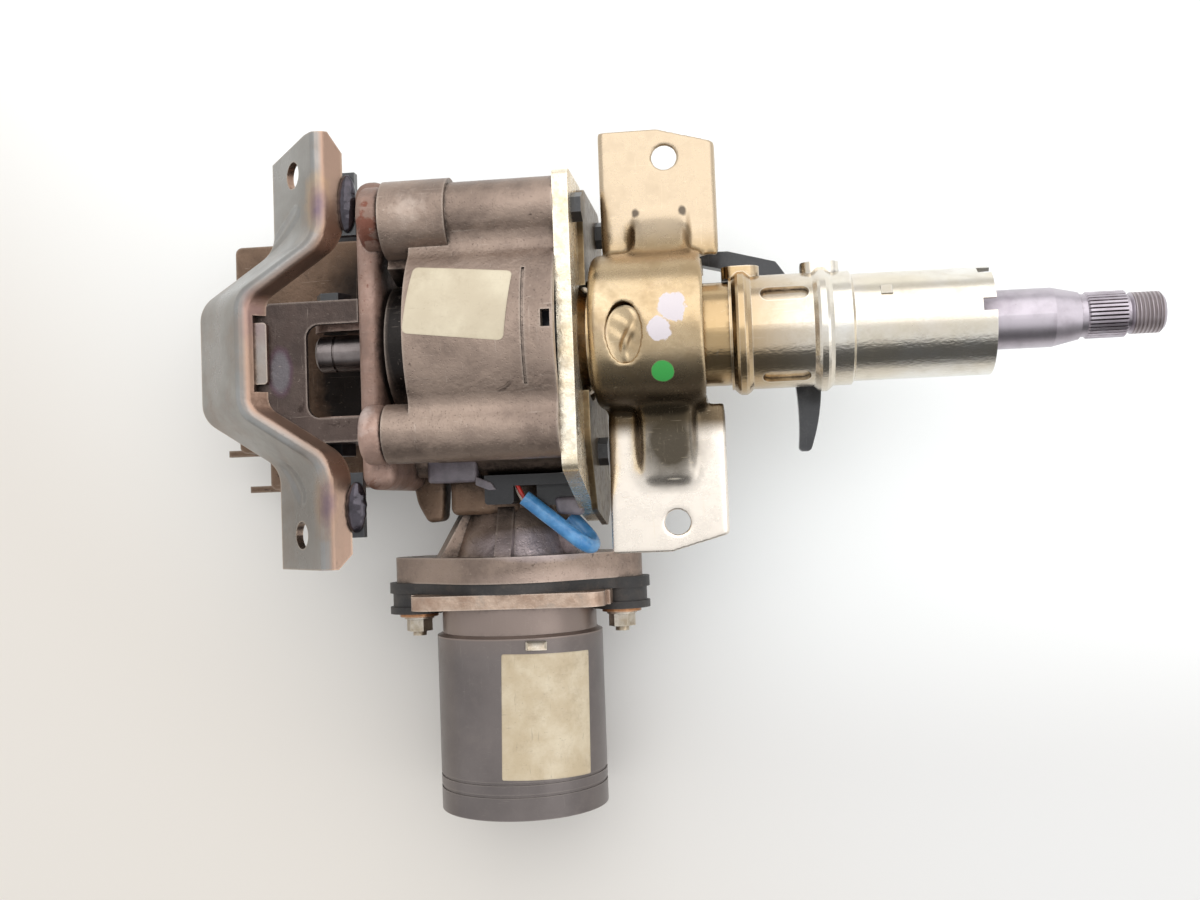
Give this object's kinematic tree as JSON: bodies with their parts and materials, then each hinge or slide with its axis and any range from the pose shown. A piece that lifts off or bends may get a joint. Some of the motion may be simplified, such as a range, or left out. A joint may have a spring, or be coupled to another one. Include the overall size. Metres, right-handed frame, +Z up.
{
  "type": "electric power steering unit",
  "caption": "Column-type electric power steering unit: jacketed steering shaft, worm gear housing with assist motor, control unit, tilt pivot and two mounting brackets",
  "frame": {"origin": "midway between the two bolt holes of the upper bracket, on the top face of its ears", "axes": "+X along the column towards the steering wheel, +Y away from the motor, +Z up, the side that faces the car body"},
  "size_m": [0.4005, 0.2815, 0.128],
  "materials": {
    "strap_steel": "bare pressed steel with heat tint at the welds",
    "black_steel": "black painted steel",
    "zinc": "yellow zinc plated steel",
    "shaft_steel": "turned bare steel",
    "bearing_steel": "ground bearing steel",
    "cast_aluminium": "sand-cast aluminium with a stained skin",
    "rusty_casting": "cast iron with rust in the corners",
    "nylon": "natural nylon",
    "black_plastic": "moulded black plastic",
    "black_rubber": "black rubber",
    "motor_grey": "satin grey painted steel can",
    "copper": "copper windings and bars",
    "magnet": "dark sintered magnets",
    "board": "green circuit board",
    "blue_sleeve": "blue heat-shrink sleeve",
    "lead": "insulated leads"
  },
  "bodies": {
    "car_mount": {"lower_bracket": "strap_steel", "channel_bracket": "strap_steel", "ear_backing_plates": "black_steel", "pivot_bolts": "black_steel", "upper_bracket": "zinc", "clamp_side_plates": "zinc"},
    "column": {"pivot_casting": "rusty_casting", "shaft_seal": "black_rubber", "gear_housing": "cast_aluminium", "jacket_plate": "zinc", "backing_plate": "zinc", "housing_bolts": "black_steel", "lower_jacket": "zinc", "upper_jacket": "zinc", "jacket_bracket": "zinc", "clamp_bolt": "zinc", "clamp_nut": "zinc", "clamp_cam": "zinc", "bearing_carrier": "zinc", "output_bearing_outers": "bearing_steel", "input_bearing_outer": "bearing_steel", "upper_bearing_outer": "bearing_steel", "worm_bearing_outers": "bearing_steel", "sensor_coil": "black_plastic", "sensor_connector": "black_plastic", "lead_wires": "lead", "lead_sleeve": "blue_sleeve", "rubber_damper": "black_rubber", "motor_plate": "shaft_steel", "motor_can": "motor_grey", "motor_studs": "zinc", "motor_nuts": "zinc", "motor_magnets": "magnet", "brush_carrier": "black_plastic", "motor_bearing_outers": "bearing_steel", "ecu_housing": "cast_aluminium", "ecu_cover": "cast_aluminium", "ecu_board": "board", "ecu_screws": "black_steel", "ecu_sockets": "black_plastic"},
    "tilt_lever": {"tilt_lever": "black_steel"},
    "output": {"output_shaft": "shaft_steel", "wheel_hub": "shaft_steel", "worm_wheel": "nylon", "torsion_bar": "shaft_steel", "output_bearing_inners": "bearing_steel", "sensor_sleeve": "bearing_steel"},
    "steering_input": {"input_shaft": "shaft_steel", "wheel_shaft": "shaft_steel", "sensor_rotor": "bearing_steel", "input_bearing_inner": "bearing_steel", "upper_bearing_inner": "bearing_steel"},
    "worm_drive": {"worm": "shaft_steel", "worm_bearing_inners": "bearing_steel", "coupling": "black_rubber", "motor_shaft": "shaft_steel", "armature": "bearing_steel", "commutator": "copper", "motor_bearing_inners": "bearing_steel"}
  },
  "joints": [
    {"name": "column_tilt", "type": "hinge", "parent": "car_mount", "child": "column", "pos_m": [-0.14, 0, -0.002], "axis": [0, 1, 0], "range_deg": [-2.5, 2.5]},
    {"name": "lever_turn", "type": "hinge", "parent": "column", "child": "tilt_lever", "pos_m": [-0.006, 0.036, -0.029], "axis": [0, 1, 0], "range_deg": [0, 50]},
    {"name": "output_turn", "type": "hinge", "parent": "column", "child": "output", "pos_m": [-0.1, 0, 0.004], "axis": [1, 0, 0], "continuous": true},
    {"name": "input_twist", "type": "hinge", "parent": "output", "child": "steering_input", "pos_m": [0.06, 0, 0.004], "axis": [1, 0, 0], "range_deg": [-4.5, 4.5], "stiffness_Nm_per_rad": 115},
    {"name": "worm_turn", "type": "hinge", "parent": "column", "child": "worm_drive", "pos_m": [-0.073, -0.02, -0.041], "axis": [0, 1, 0], "continuous": true}
  ],
  "couplings": [
    {"joint": "worm_turn", "follows": "output_turn", "ratio": -20.5}
  ]
}
